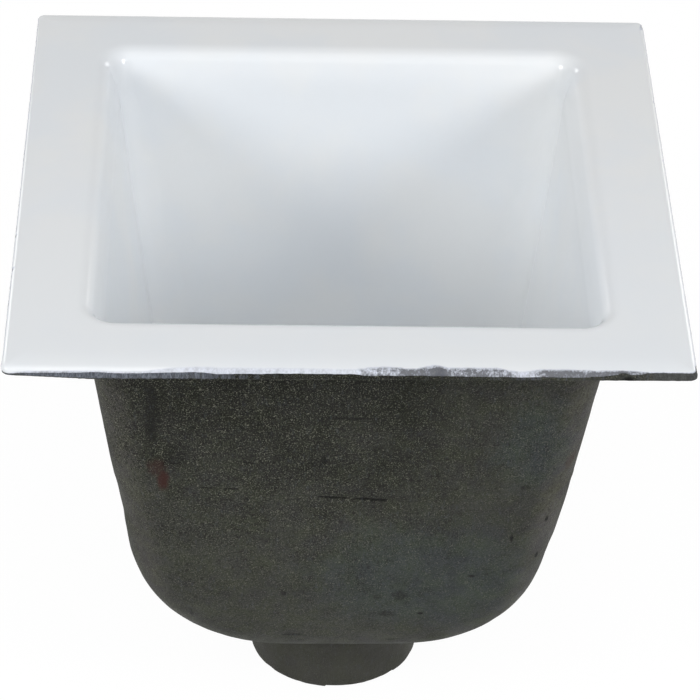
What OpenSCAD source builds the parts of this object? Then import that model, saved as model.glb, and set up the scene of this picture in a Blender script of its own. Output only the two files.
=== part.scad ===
// Cast-iron floor sink: a square flange, a deep tapered bowl with a rounded bottom, and a plain pipe
// outlet under it, all cast in one and kept here as three solids that meet face to face. White
// porcelain enamel covers the flange's top and the inside, and a loose dome strainer stands over the
// outlet. Millimetres, +Z up. The origin is the centre of the outlet's lower end, on the surface that
// the sink stands on.

/* [Flange] */
// Width of the square flange, over the enamel
flange_w = 304.8; // [290:0.1:330]
// Width of the border round the bowl, from the flange's edge to the line of the enamelled wall
border_w = 39.9; // [35:0.1:45]
// Corner radius of the flange, seen from above
flange_corner_r = 4; // [4:0.5:14]
// Thickness of the iron flange
flange_t = 5.2; // [5:0.1:12]
// Radius along the flange's upper edge, over the enamel
edge_r = 3; // [2:0.25:3.25]
// Radius of the gentle fall of the flange's top towards that edge
crown_r = 45; // [30:5:80]
// Angle to which the top falls before the edge turns down
crown_angle = 12; // [6:1:14]
// Chamfer along the iron flange's lower edge
flange_chamfer = 0.8; // [0.3:0.1:1.5]
// Radius where the outside of the bowl meets the flange
flange_fillet_r = 8; // [3:0.5:14]

/* [Bowl] */
// Radius of the rolled rim, over the enamel
rim_r = 11; // [6:0.5:14]
// Depth from the flange's top to the enamelled floor
bowl_depth = 217; // [180:0.5:260]
// Slope of the side walls from the vertical, in degrees
wall_slope = 7.8; // [2:0.1:9]
// Thickness of the iron wall and floor
wall_t = 8.5; // [5:0.5:11]
// Corner radius of the bowl at its mouth
mouth_corner_r = 10; // [6:0.5:20]
// Corner radius of the bowl where the side walls end
low_corner_r = 19.5; // [16:0.5:50]
// Height of the curve between the side walls and the floor
bottom_curve_h = 101.5; // [60:0.5:112]
// Width of the flat floor
floor_w = 122; // [116:1:130]
// Corner radius of the flat floor
floor_corner_r = 57; // [50:0.5:57.5]

/* [Enamel] */
// Thickness of the porcelain enamel
enamel_t = 1; // [0.6:0.1:1.5]
// How far the enamel reaches down the flange's side below the round edge
enamel_skirt = 0.2; // [0.1:0.05:0.6]

/* [Outlet] */
// Outside diameter of the outlet pipe
outlet_od = 85.1; // [80:0.1:88]
// Bore of the outlet pipe
outlet_id = 76.2; // [68:0.1:77]
// Length of the outlet pipe below the bowl
outlet_len = 50; // [35:0.5:80]
// Radius where the outlet pipe meets the bowl
outlet_fillet_r = 3; // [2:0.5:9]

/* [Strainer] */
// Radius of the recess in the floor that holds the strainer
seat_r = 56; // [54:0.5:57]
// Depth of that recess
seat_depth = 2.5; // [1.5:0.25:4]
// Gap between the strainer's rim and the side of the recess
seat_gap = 1; // [0.5:0.25:3]
// Width of the strainer's rim
strainer_rim_w = 7; // [5:0.5:9]
// Thickness of the strainer's rim
strainer_rim_t = 3; // [2:0.25:4]
// Height of the dome above the rim
dome_h = 34; // [24:1:42]
// Thickness of the dome
dome_t = 3; // [2:0.25:4]
// Number of slots round the dome
slot_count = 12; // [4:4:12]
// Width of a slot
slot_w = 5.5; // [4:0.25:6.5]
// Height of the solid band between the rim and the slots
slot_sill = 4; // [2:0.5:8]
// Radius of the solid cap in the middle of the dome
cap_r = 15; // [14.5:0.5:20]

/* [Resolution] */
// Steps round each corner of the bowl and flange
corner_steps = 10; // [6:1:12]
// Steps down the curved bottom
curve_steps = 12; // [8:1:14]
// Steps round the rolled rim and the fillet under the flange
roll_steps = 6; // [4:1:8]
// Steps round the flange's edge, and across its crown
edge_steps = 3; // [2:1:5]
// Steps down the straight side wall
wall_steps = 3; // [1:1:5]

/* [Hidden] */
$fn = 96;

// Room that a cutting shape runs past what it cuts
past = 1;
// Depth that the outlet's fillet runs into its pipe, so that they join as one solid
bite = 0.5;
// How far the outlet's fillet is let into the pipe and the bowl, so that it meets them at an angle
fillet_inset = 0.15;

// Heights
floor_z = outlet_len + wall_t + enamel_t;
flange_z = floor_z + bowl_depth;
seat_z = floor_z - seat_depth;

// Bowl's width in line with the flange's top, between the enamelled walls
mouth_w = flange_w - 2 * border_w;

// Side wall: how far it comes in for each millimetre down, and the depth of the bottom curve's centre
slope = tan(wall_slope);
curve_centre = bowl_depth - bottom_curve_h;
floor_half = floor_w / 2;

// Rolled rim: the half width of its centre line
roll_half = mouth_w / 2 + rim_r * (1 / cos(wall_slope) - slope);

// Outside of the bowl: its distance from the enamelled surface, the depth of the flange's underside,
// and the half width at which the fillet under the flange begins, where the flange meets the bowl
shell_out = enamel_t + wall_t;
under = enamel_t + flange_t;
fillet_half = wall_half(shell_out) - slope * (under + flange_fillet_r)
    + flange_fillet_r / cos(wall_slope);

// Flange: half width, depth at which the round edge ends, and the centre line of the crown
edge_half = flange_w / 2;
edge_depth = crown_r * (1 - cos(crown_angle)) + edge_r * cos(crown_angle);
crown_half = edge_half - edge_r + (edge_r - crown_r) * sin(crown_angle);

// Strainer: its outer radius, the dome's foot and the sphere that the dome is cut from
strainer_r = seat_r - seat_gap;
dome_foot_r = strainer_r - strainer_rim_w;
dome_r = (dome_foot_r * dome_foot_r + dome_h * dome_h) / (2 * dome_h);
dome_centre = strainer_rim_t + dome_h - dome_r;

// One level of the shape: [half width, corner radius, depth below the flange's top].
// A surface is a list of levels, and "out" is how far it lies outside the enamelled one.

// Half width of the side wall's line, carried up to the flange's top
function wall_half(out) = mouth_w / 2 + out / cos(wall_slope);

// Half width of the bottom curve, an ellipse that leaves the side wall smoothly
function curve_half(out) = sqrt(
    pow(wall_half(out) - floor_half - slope * curve_centre, 2)
    - pow(slope * (bottom_curve_h + out), 2)
);

// Angle round the ellipse at which it leaves the side wall
function curve_start(out) = atan(slope * (bottom_curve_h + out) / curve_half(out));

// Depth at which the side wall ends
function wall_end(out) = curve_centre + (bottom_curve_h + out) * sin(curve_start(out));

// Side wall from a given depth down to the bottom curve
function wall_levels(out, from_depth, from_corner) = [
    for (i = [0:wall_steps])
        let (
            share = i / wall_steps,
            depth = from_depth + (wall_end(out) - from_depth) * share
        )
        [
            wall_half(out) - slope * depth,
            from_corner + (low_corner_r + out - from_corner) * share,
            depth
        ]
];

// Bottom curve, from below its start to the floor
function curve_levels(out) = let (first = curve_start(out), across = cos(first)) [
    for (i = [1:curve_steps])
        let (
            angle = first + (90 - first) * i / curve_steps,
            share = cos(angle) / across
        )
        [
            floor_half + curve_half(out) * cos(angle),
            floor_corner_r + (low_corner_r + out - floor_corner_r) * share,
            curve_centre + (bottom_curve_h + out) * sin(angle)
        ]
];

// Corner radius at the mouth that keeps the corner's centre in place
function mouth_corner(half) = mouth_corner_r + half - mouth_w / 2;

// Rolled rim, from the flange's top to the side wall
function roll_levels(out) = [
    for (i = [0:roll_steps])
        let (
            angle = 90 + (90 - wall_slope) * i / roll_steps,
            half = roll_half + (rim_r - out) * cos(angle)
        )
        [half, mouth_corner(half), rim_r - (rim_r - out) * sin(angle)]
];

// Inside surface from the rim to the floor
function inside_levels(out) =
    let (
        roll = roll_levels(out),
        last = roll[roll_steps],
        wall = wall_levels(out, last[2], last[1])
    )
    concat(roll, [for (i = [1:wall_steps]) wall[i]], curve_levels(out));

// Outside of the bowl from the fillet under the flange to the floor
function outside_levels() =
    let (
        fillet = [
            for (i = [0:roll_steps])
                let (
                    angle = (90 - wall_slope) * i / roll_steps,
                    half = fillet_half - flange_fillet_r * sin(angle)
                )
                [
                    half,
                    mouth_corner(half),
                    under + flange_fillet_r * (1 - cos(angle))
                ]
        ],
        last = fillet[roll_steps],
        wall = wall_levels(shell_out, last[2], last[1])
    )
    concat(fillet, [for (i = [1:wall_steps]) wall[i]], curve_levels(shell_out));

// Corner radius of the flange that keeps the corner's centre in place
function edge_corner(half) = flange_corner_r + half - edge_half;

// Upper edge of the flange, from its side over the round edge and the crown to the flat top
function edge_levels(out) =
    let (
        radius = edge_r - out,
        round = [
            for (i = [0:edge_steps])
                let (
                    angle = 90 + (crown_angle - 90) * i / edge_steps,
                    half = edge_half - edge_r + radius * sin(angle)
                )
                [half, edge_corner(half), edge_depth - radius * cos(angle)]
        ],
        crown = [
            for (i = [1:edge_steps])
                let (angle = crown_angle * (1 - i / edge_steps))
                [
                    crown_half + (crown_r - out) * sin(angle),
                    round[edge_steps][1],
                    crown_r - (crown_r - out) * cos(angle)
                ]
        ]
    )
    concat(round, crown);

function reversed(list) = [for (i = [len(list) - 1:-1:0]) list[i]];

// Points of a level: a square with round corners
function ring(level) = let (half = level[0], r = level[1]) [
    for (quarter = [0:3])
        for (i = [0:corner_steps])
            let (
                angle = 90 * (quarter + i / corner_steps),
                x = (half - r) * (quarter == 0 || quarter == 3 ? 1 : -1),
                y = (half - r) * (quarter < 2 ? 1 : -1)
            )
            [x + r * cos(angle), y + r * sin(angle), flange_z - level[2]]
];

// Solid through a list of levels, closed across its first and last. The sides are triangles, split
// the same way whichever way the list runs, so that the iron and the enamel share one surface.
module through_levels(levels) {
    count = 4 * (corner_steps + 1);
    last = len(levels) - 1;
    sides = [
        for (j = [0:last - 1])
            let (falling = levels[j][2] < levels[j + 1][2])
            for (i = [0:count - 1])
                let (
                    next = (i + 1) % count,
                    a = j * count + i,
                    b = j * count + next,
                    c = (j + 1) * count + next,
                    d = (j + 1) * count + i
                )
                each falling ? [[a, d, c], [a, c, b]] : [[a, d, b], [d, c, b]]
    ];
    first_cap = [for (i = [0:count - 1]) i];
    last_cap = [for (i = [count - 1:-1:0]) last * count + i];
    polyhedron(
        points = [for (level = levels) each ring(level)],
        faces = concat([first_cap], sides, [last_cap]),
        convexity = 10
    );
}

// Upright block with the bowl's outline where it meets the flange
module bowl_block() {
    outline = ring([fillet_half, mouth_corner(fillet_half), 0]);
    translate([0, 0, -past])
        linear_extrude(flange_z + 2 * past)
            polygon([for (point = outline) [point[0], point[1]]]);
}

// Bore that runs through the floor and the outlet pipe
module outlet_bore() {
    translate([0, 0, -past])
        cylinder(d = outlet_id, h = floor_z + 2 * past);
}

// Square iron flange round the bowl
module flange() {
    side = edge_half - enamel_t;
    low = side - flange_chamfer;
    color([0.25, 0.26, 0.24])
        difference() {
            through_levels(concat(
                [
                    [low, edge_corner(low), under],
                    [side, edge_corner(side), under - flange_chamfer]
                ],
                edge_levels(enamel_t)
            ));
            bowl_block();
        }
}

// Iron bowl, from the rolled rim and the fillet under the flange to the floor
module bowl() {
    color([0.25, 0.26, 0.24])
        difference() {
            through_levels(concat(
                reversed(outside_levels()),
                [[fillet_half, mouth_corner(fillet_half), enamel_t]],
                inside_levels(enamel_t)
            ));
            translate([0, 0, seat_z - enamel_t])
                cylinder(r = seat_r + enamel_t, h = seat_depth + past);
            outlet_bore();
        }
}

// Iron outlet pipe under the bowl, with the fillet round its upper end
module outlet_pipe() {
    color([0.25, 0.26, 0.24])
        difference() {
            union() {
                cylinder(d = outlet_od, h = outlet_len);
                translate([0, 0, outlet_len - outlet_fillet_r])
                    rotate_extrude()
                        translate([outlet_od / 2, 0])
                            difference() {
                                translate([-bite, 0])
                                    square([outlet_fillet_r + bite, outlet_fillet_r]);
                                translate([outlet_fillet_r - fillet_inset, fillet_inset])
                                    circle(r = outlet_fillet_r);
                            }
            }
            outlet_bore();
        }
}

// White enamel on the flange's top and edge and on the whole inside
module porcelain_enamel() {
    side = edge_half - enamel_t;
    hem = edge_depth + enamel_skirt;
    color([0.93, 0.94, 0.95])
        difference() {
            union() {
                through_levels(concat(
                    reversed(inside_levels(enamel_t)),
                    reversed(edge_levels(enamel_t)),
                    [[side, edge_corner(side), hem], [edge_half, flange_corner_r, hem]],
                    edge_levels(0),
                    inside_levels(0)
                ));
                translate([0, 0, seat_z - enamel_t])
                    cylinder(r = seat_r + enamel_t, h = seat_depth + enamel_t / 2);
            }
            translate([0, 0, seat_z])
                cylinder(r = seat_r, h = seat_depth + past);
            outlet_bore();
        }
}

// One slot, from the cap out past the side of the dome
module dome_slot() {
    sill = strainer_rim_t + slot_sill;
    start = cap_r + slot_w / 2;
    translate([start, -slot_w / 2, sill])
        cube([strainer_r - start + past, slot_w, dome_h + past]);
    translate([start, 0, sill])
        cylinder(d = slot_w, h = dome_h + past);
}

// Loose aluminium dome that stands in the recess over the outlet
module dome_strainer() {
    color([0.72, 0.73, 0.74])
        translate([0, 0, seat_z])
            difference() {
                union() {
                    cylinder(r = strainer_r, h = strainer_rim_t);
                    intersection() {
                        translate([0, 0, dome_centre])
                            sphere(r = dome_r);
                        cylinder(r = strainer_r, h = strainer_rim_t + dome_h + past);
                    }
                }
                translate([0, 0, dome_centre])
                    sphere(r = dome_r - dome_t);
                for (i = [0:slot_count - 1])
                    rotate([0, 0, 360 * (i + 0.5) / slot_count])
                        dome_slot();
            }
}

flange();
bowl();
outlet_pipe();
porcelain_enamel();
dome_strainer();
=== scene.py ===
"""Builds the looks of a cast-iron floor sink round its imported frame.

Three pieces are made: the iron casting with its flange, bowl and outlet pipe, the porcelain enamel
on it, and the loose dome strainer. Lengths are metres, +Z is up, and the origin is the centre of the
outlet's lower end.
"""

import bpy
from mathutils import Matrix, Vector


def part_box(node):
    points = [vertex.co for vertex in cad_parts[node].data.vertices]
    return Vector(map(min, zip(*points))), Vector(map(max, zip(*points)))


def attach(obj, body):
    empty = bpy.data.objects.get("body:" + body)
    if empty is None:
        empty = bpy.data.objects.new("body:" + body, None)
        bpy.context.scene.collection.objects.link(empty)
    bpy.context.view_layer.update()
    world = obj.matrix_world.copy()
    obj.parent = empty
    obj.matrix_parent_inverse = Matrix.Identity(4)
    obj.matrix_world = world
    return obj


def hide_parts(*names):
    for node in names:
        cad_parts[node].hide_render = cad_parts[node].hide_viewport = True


bl_info = {
    "name": "Floor sink",
    "version": (1, 0, 0),
    "blender": (4, 5, 0),
    "location": "3D View > Sidebar > Floor sink",
    "description": "Builds an enamelled cast-iron floor sink and its dome strainer",
    "category": "Object",
}

from math import asin, atan, cos, exp, pi, radians, sin, sqrt, tan
from types import SimpleNamespace

import bmesh
import bpy
from bpy.props import FloatProperty, FloatVectorProperty, IntProperty, PointerProperty
from mathutils import Matrix, Vector, noise

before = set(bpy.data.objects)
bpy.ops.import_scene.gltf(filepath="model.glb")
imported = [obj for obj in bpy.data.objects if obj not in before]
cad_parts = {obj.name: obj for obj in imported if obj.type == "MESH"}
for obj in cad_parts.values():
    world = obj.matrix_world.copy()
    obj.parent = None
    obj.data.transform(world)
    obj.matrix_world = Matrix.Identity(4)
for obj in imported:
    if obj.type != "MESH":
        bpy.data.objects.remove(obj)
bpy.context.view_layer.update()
SINK_LOW, SINK_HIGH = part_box("porcelain_enamel")
STRAINER_LOW, STRAINER_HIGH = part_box("dome_strainer")

MM = 0.001

# Columns round each part of the casting and the enamel
SHELL_COLUMNS = 400
EDGE_COLUMNS = 1600
BOWL_COLUMNS = 800
HIDDEN_COLUMNS = 80

# Front edge of the flange, from left to right. Each row has the place across the front, the
# distances from the flat top round the edge at which the enamel ends and at which it starts to look
# worn, all in millimetres, and then how worn it looks and how much ground coat the iron keeps.
FRONT_EDGE = (
    (-153, 13.7, 13.2, 0.1, 0.5), (-141, 13.2, 12.2, 0.4, 0.8), (-122, 13, 12, 0.4, 0.9),
    (-113, 12.5, 11.7, 0.3, 0.9), (-102, 13, 12, 0.25, 0.95), (-90, 12.8, 11.6, 0.28, 0.95),
    (-78, 12.2, 9.6, 0.25, 0.85), (-68, 12.1, 9.4, 0.28, 0.75), (-57, 12.8, 9.6, 0.28, 0.6),
    (-46, 12.6, 9.6, 0.28, 0.25), (-24, 12.3, 9.6, 0.26, 0), (2, 12.3, 9.8, 0.26, 0),
    (5, 12.7, 9.6, 0.48, 0), (9, 12.9, 8.8, 0.62, 0), (16, 12.8, 8.6, 0.6, 0),
    (22, 12.8, 8.8, 0.73, 0), (26, 12.6, 9.6, 0.82, 0), (30, 12.5, 9.4, 0.82, 0.05),
    (35, 12.7, 8.2, 0.88, 0.05), (38, 12.7, 7.5, 0.97, 0.05), (41, 12.6, 7.7, 0.95, 0.05),
    (45, 12.7, 8.9, 0.75, 0.1), (54, 12.8, 8.6, 0.76, 0.15), (67, 12.8, 8.6, 0.74, 0.2),
    (71, 12.9, 9.7, 0.55, 0.2), (76, 13, 10.3, 0.4, 0.2), (81, 12.8, 10, 0.5, 0.2),
    (87, 12.6, 9.1, 0.8, 0.1), (100, 12.8, 9.2, 0.85, 0.1), (112, 11.8, 9.5, 0.9, 0.15),
    (118.5, 11.2, 9.4, 0.9, 0.1), (120, 10.3, 9.2, 0.95, 0), (123, 10.2, 9.2, 0.95, 0),
    (124.5, 11.2, 9.4, 0.8, 0.1), (127, 11.3, 9.4, 0.7, 0.15), (132, 10.4, 9.8, 0.7, 0.1),
    (135, 10.1, 9.8, 0.5, 0), (153, 10.1, 9.8, 0.5, 0),
)

# How far the bowl stands proud of its true shape at a height, left and right, in millimetres
SIDE_SWELL = (
    (60, -0.3, -0.4), (75, -0.1, -0.3), (83, 0.1, -0.1), (90, 0.2, -0.2), (98, 0.3, -0.5),
    (107, 0.4, -0.7), (116, 0.6, -1.2), (124, 0.4, -1), (131, 0.3, -0.3), (143, -0.3, 0.1),
    (156, -0.3, 0.4), (172, 0.1, 0.2), (185, 0, 0.1), (200, -0.3, 0), (216, -0.5, -0.1),
    (240, -0.7, 0),
)

# Cracks along the mould's joint: start and end across the front, height and half width at both ends,
# in millimetres
CRACKS = (
    (-66, -59, 177.3, 176.9, 0.2, 0.3), (-56, -46, 176.6, 176.2, 0.35, 0.15),
    (-13, -3, 171.9, 171.4, 0.3, 0.5), (-3, 2, 171.4, 171.1, 0.45, 0.2),
    (5, 12, 170.9, 170.4, 0.3, 0.5), (12, 20.5, 170.5, 170, 0.5, 0.75),
)

# Line on which the two halves of the mould met: its height in the middle, and its rise across the
# front
SEAM_Z = 170 * MM
SEAM_RISE = 0.02

# Marks on the iron: centre and reach in millimetres, and strength
SMUDGES = (
    ((28.6, -98, 105.5), (4.5, 8, 5), 0.45), ((22.5, -94, 91.3), (5.5, 8, 4), 0.55),
    ((17.8, -97.5, 104), (3, 8, 3), 0.4), ((-26.8, -98, 106.2), (2.2, 6, 2), 0.7),
    ((38.7, -94.2, 91.6), (1.9, 6, 1.3), 0.95), ((61.5, -100.5, 119), (2.6, 6, 1.4), 0.8),
    ((79.1, -104, 145.4), (1.3, 6, 3.2), 1), ((95.3, -99.3, 153.4), (1.3, 8, 2.8), 1),
    ((92.3, -94, 127), (1.2, 9, 4), 0.9), ((83.6, -108.8, 179.2), (3, 6, 2.5), 0.5),
    ((-88.2, -114.8, 222), (4.6, 8, 27), 0.7), ((-22, -86.5, 71), (8, 9, 1.5), 0.6),
    ((25.5, -83, 65.7), (4, 8, 1.5), 0.5), ((3, -114.6, 222), (19, 8, 1.1), 0.7),
    ((-70.5, -92, 89), (1.2, 9, 5), 0.5), ((-30, -111, 197), (4, 8, 3), 0.45),
    ((-9.3, -111, 194.7), (2.6, 8, 3), 0.75),
)
RUST_SPOTS = (
    ((-83, -109, 182), (3.8, 8, 8.5), 0.92), ((-86, -110, 190), (6, 8, 7), 0.5),
    ((105, -101.5, 189), (5, 8, 8), 0.4),
)

# Where rings of points lie, in millimetres. Round the flange's edge: beyond the end of its lower
# chamfer, and beyond the start of its upright side.
UNDER_PLACES = (3.5, 1.8, 0.8, 0.2, -0.4)
SIDE_PLACES = (1.3, 0.8, 0.3, -0.2, -0.7, -1.2, -1.7, -2.2, -2.7, -3.2, -3.8, -4.4, -5.2, -6, -7, -9)
# Shares of the way to the enamel's hem, then how far beyond the hem and how deep its lip turns in
HEM_SHARES = (0, 0.25, 0.45, 0.55, 0.61, 0.67, 0.73, 0.79, 0.84, 0.89, 0.93, 0.97, 1)
HEM_LIP = ((0.1, 0.12), (0.14, 0.3), (0, 0.5), (-0.6, 0.7))
# Heights in the bore, then round the pipe's worn end: beyond the bore or inside the pipe's outer
# radius, and height
BORE_HEIGHTS = (46, 38, 28, 18, 9, 4, 1.5)
END_INSIDE = ((0.15, 0.5), (0.6, 0), (1.8, 0))
END_OUTSIDE = ((1.6, 0), (0.9, 0.1), (0.5, 0.5), (0.35, 1.4), (0.35, 3))


def linear(value):
    """Linear strength of one channel of a colour that is written from 0 to 255"""
    value /= 255
    return value / 12.92 if value <= 0.04045 else ((value + 0.055) / 1.055) ** 2.4


def length(name, mm, text):
    """Property for a length, with its default in millimetres"""
    return FloatProperty(name=name, description=text, default=mm * MM, min=0, precision=4,
                         unit="LENGTH", subtype="DISTANCE")


def angle(name, degrees, text):
    """Property for an angle, with its default in degrees"""
    return FloatProperty(name=name, description=text, default=radians(degrees),
                         unit="ROTATION", subtype="ANGLE")


def colour(name, red, green, blue, text):
    """Property for a colour, with its default channels from 0 to 255"""
    return FloatVectorProperty(name=name, description=text, size=3, min=0, max=1,
                               default=(linear(red), linear(green), linear(blue)),
                               subtype="COLOR")


def share(name, value, text):
    """Property for a share from 0 to 1"""
    return FloatProperty(name=name, description=text, default=value, min=0, max=1,
                         subtype="FACTOR")


class SinkShape(bpy.types.PropertyGroup):
    """Sizes that the casting and the enamel share"""
    flange_w: length("Flange width", (SINK_HIGH.x - SINK_LOW.x) / MM, "Width over the enamel")
    flange_corner_r: length("Flange corner", 4, "Corner radius of the flange from above")
    flange_t: length("Flange thickness", 5.2, "Thickness of the iron flange")
    edge_r: length("Edge radius", 3, "Radius along the flange's upper edge")
    crown_r: length("Crown radius", 45, "Radius of the gentle fall towards the edge")
    crown_angle: angle("Crown angle", 12, "Slope that the fall reaches before the edge")
    chamfer: length("Lower chamfer", 0.8, "Chamfer along the flange's lower edge")
    fillet_r: length("Flange fillet", 8, "Radius where the bowl meets the flange underneath")
    border_w: length("Border width", 39.9, "From the flange's edge to the line of the wall")
    rim_r: length("Rim radius", 8.8, "Radius of the rolled rim round the mouth")
    rim_soft_r: length("Soft rim radius", 60, "Radius where the rolled rim runs out into the wall")
    rim_soft: angle("Soft rim turn", 15, "How far the surface turns along that softer radius")
    bowl_depth: length("Bowl depth", 217, "From the flange's top to the enamelled floor")
    wall_slope: angle("Wall slope", 7.8, "Slope of the side walls from the vertical")
    wall_t: length("Wall thickness", 8.5, "Thickness of the iron wall and floor")
    mouth_corner_r: length("Mouth corner", 10, "Corner radius of the bowl at its mouth")
    low_corner_r: length("Low corner", 19.5, "Corner radius where the side walls end")
    curve_h: length("Bottom curve", 101.5, "Height of the curve between walls and floor")
    floor_w: length("Floor width", 122, "Width of the flat floor")
    floor_corner_r: length("Floor corner", 57, "Corner radius of the flat floor")
    enamel_t: length("Enamel thickness", 1, "Thickness of the enamel on the flat and inside")
    outlet_r: length("Outlet radius", 42.55, "Outside radius of the outlet pipe")
    bore_r: length("Bore radius", 38.1, "Radius of the outlet's bore")
    outlet_fillet_r: length("Outlet fillet", 3, "Radius where the pipe meets the bowl")
    seat_r: length("Seat radius", 56, "Radius of the recess that holds the strainer")
    seat_depth: length("Seat depth", 2.5, "Depth of that recess")


class CastingLook(bpy.types.PropertyGroup):
    """Surface and colours of the raw iron"""
    swell: length("Swell", 0.4, "Height of the slow waves left by the mould")
    dents: length("Dents", 0.16, "Height of the dents and bumps between them")
    edge_bite: length("Edge bite", 0.22, "Roughness of the bare flange edge")
    twist: length("Twist", 1.5, "How far the flange's underside is out of true at its corners")
    sag: length("Sag", 0.45, "How much deeper than true the flange's edge is cast")
    crack_depth: length("Crack depth", 0.6, "Depth of the cracks along the mould's joint")
    grain: length("Sand grain", 0.62, "Size of the sand grains printed in the iron")
    # Painted shade: the upper iron's dark tone stands in for the shadow that the flange casts on the
    # bowl below it
    upper: colour("Upper iron", 36, 38, 32, "Dark greenish tone under the flange")
    lower: colour("Lower iron", 61, 63, 57, "Greyer tone towards the bottom")
    # Painted light: this lighter tone stands in for lamp light on the bowl's rounded corners and on
    # the pipe's foot
    painted_light: colour("Rubbed iron", 80, 79, 74, "Lighter tone of the bowl's rounded corners")
    cool: colour("Cool iron", 60, 69, 69, "Bluish tone towards the lower right")
    # Painted highlight: the grains painted in this tone stand in for glints of light on the sand-cast
    # surface
    glint: colour("Grain glint", 134, 134, 120, "Grains that catch the light")
    rust: colour("Rust", 58, 29, 23, "Rust spot and its streak")
    soot: colour("Soot", 18, 18, 16, "Cracks, pits and smudges")
    ground: colour("Ground coat", 127, 133, 144, "Bluish first coat left along the edge")
    fresh: colour("Fresh iron", 84, 86, 85, "Bare iron where the edge has chipped")


class EnamelLook(bpy.types.PropertyGroup):
    """Surface and colours of the enamel"""
    edge_t: length("Edge thickness", 0.35, "Thickness of the enamel round the flange's edge")
    side_hem: length("Side hem", 11.6, "Distance round the edge where it ends at the sides")
    flow: length("Flow", 0.06, "Height of the slow waves in the glass")
    white: colour("White", 248, 250, 251, "White of the cover coat")
    # Also painted light: the coat is painted in this cooler tone towards the front, for the bluish
    # light that falls there
    shade: colour("Shade", 244, 248, 252, "Cooler tone of the cover coat")
    thin: colour("Thin coat", 226, 231, 243, "Bluish tone where the coat thins out")
    chip: colour("Chips", 44, 47, 56, "Bluish dark ground that shows where the coat is worn")
    gloss: share("Roughness", 0.13, "Roughness of the glass surface")


class StrainerShape(bpy.types.PropertyGroup):
    """Sizes and colours of the dome strainer"""
    radius: length("Radius", STRAINER_HIGH.x / MM, "Outer radius of the rim")
    rim_w: length("Rim width", 7, "Width of the flat rim")
    rim_t: length("Rim thickness", 3, "Thickness of the rim")
    dome_h: length("Dome height", 34, "Height of the dome above the rim")
    dome_t: length("Dome thickness", 3, "Thickness of the dome")
    foot_r: length("Foot radius", 2.5, "Radius where the dome meets the rim")
    slots: IntProperty(name="Slots", description="Number of slots round the dome", default=12,
                       min=4, max=16)
    slot_w: length("Slot width", 5.5, "Width of a slot")
    slot_sill: length("Slot sill", 4, "Solid band between the rim and the slots")
    cap_r: length("Cap radius", 15, "Radius of the solid cap")
    light: colour("Light metal", 196, 198, 200, "Brighter tone of the cast aluminium")
    dark: colour("Dark metal", 150, 153, 156, "Darker tone of the cast aluminium")


class StageLook(bpy.types.PropertyGroup):
    """Camera, lamps and floor"""
    eye: FloatVectorProperty(name="Camera place", description="Where the camera stands", size=3,
                             default=(-0.04303, -1.44457, 1.20638), subtype="XYZ", unit="LENGTH")
    aim: FloatVectorProperty(name="Camera aim", description="Point that the camera looks at",
                             size=3, default=(0.00444, 0, 0.17844), subtype="XYZ", unit="LENGTH")
    roll: angle("Camera roll", 1.7051, "Turn of the camera about its line of sight")
    lens: FloatProperty(name="Lens", description="Focal length on a 36 mm sensor",
                        default=188.34, unit="CAMERA")
    side_power: FloatProperty(name="Side lamps", description="Power of each lamp at the sides",
                              default=8, unit="POWER")
    side_turn: angle("Side turn", 54, "How far to the side of the front each of them stands")
    side_rise: angle("Side rise", 25, "How high above the flange each of them stands")
    front_power: FloatProperty(name="Front lamp", description="Power of the large lamp in front",
                               default=17, unit="POWER")
    back_power: FloatProperty(name="Back lamps", description="Power of each lamp behind",
                              default=2.6, unit="POWER")
    back_turn: angle("Back turn", 140, "How far round from the front each of them stands")
    back_rise: angle("Back rise", 20, "How high above the flange each of them stands")
    front_rise: angle("Front rise", 56, "How high above the flange it stands")
    room: FloatProperty(name="Room light", description="Strength of the even light of the room",
                        default=0.18, min=0)
    shadow: share("Shadow", 0.08, "How much of the floor's shadow the camera sees")


# Shape of the sink. A level is (half width, corner radius, depth below the flange's top).

def sink_shape(scene):
    """Sizes of the sink, with the lengths that follow from them"""
    group = scene.sink_shape
    s = SimpleNamespace(**{name: getattr(group, name) for name in SinkShape.__annotations__})
    s.top_z = SINK_HIGH.z
    s.slope = tan(s.wall_slope)
    s.edge_half = s.flange_w / 2
    s.mouth_half = s.edge_half - s.border_w
    s.floor_half = s.floor_w / 2
    s.curve_centre = s.bowl_depth - s.curve_h
    s.rim_end = pi - s.wall_slope - s.rim_soft
    wider = s.rim_soft_r - s.rim_r
    s.soft_depth = s.rim_r + wider * sin(s.rim_end)
    wall_depth = s.soft_depth - s.rim_soft_r * sin(s.wall_slope)
    s.soft_half = s.mouth_half - s.slope * wall_depth + s.rim_soft_r * cos(s.wall_slope)
    s.roll_half = s.soft_half + wider * cos(s.rim_end)
    s.shell_out = s.enamel_t + s.wall_t
    s.under = s.enamel_t + s.flange_t
    s.fillet_half = (wall_half(s, s.shell_out) - s.slope * (s.under + s.fillet_r)
                     + s.fillet_r / cos(s.wall_slope))
    s.edge_depth = s.crown_r * (1 - cos(s.crown_angle)) + s.edge_r * cos(s.crown_angle)
    s.crown_half = s.edge_half - s.edge_r + (s.edge_r - s.crown_r) * sin(s.crown_angle)
    s.crown_corner = s.flange_corner_r - s.edge_r * (1 - sin(s.crown_angle))
    return s


def wall_half(s, out):
    """Half width of the side wall's line, carried up to the flange's top"""
    return s.mouth_half + out / cos(s.wall_slope)


def mouth_corner(s, half):
    """Corner radius at the mouth that keeps the corner's centre in place"""
    return s.mouth_corner_r + half - s.mouth_half


def steps(first, last, count):
    """Evenly spaced values from first to last, both included"""
    return [first + (last - first) * i / count for i in range(count + 1)]


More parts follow.
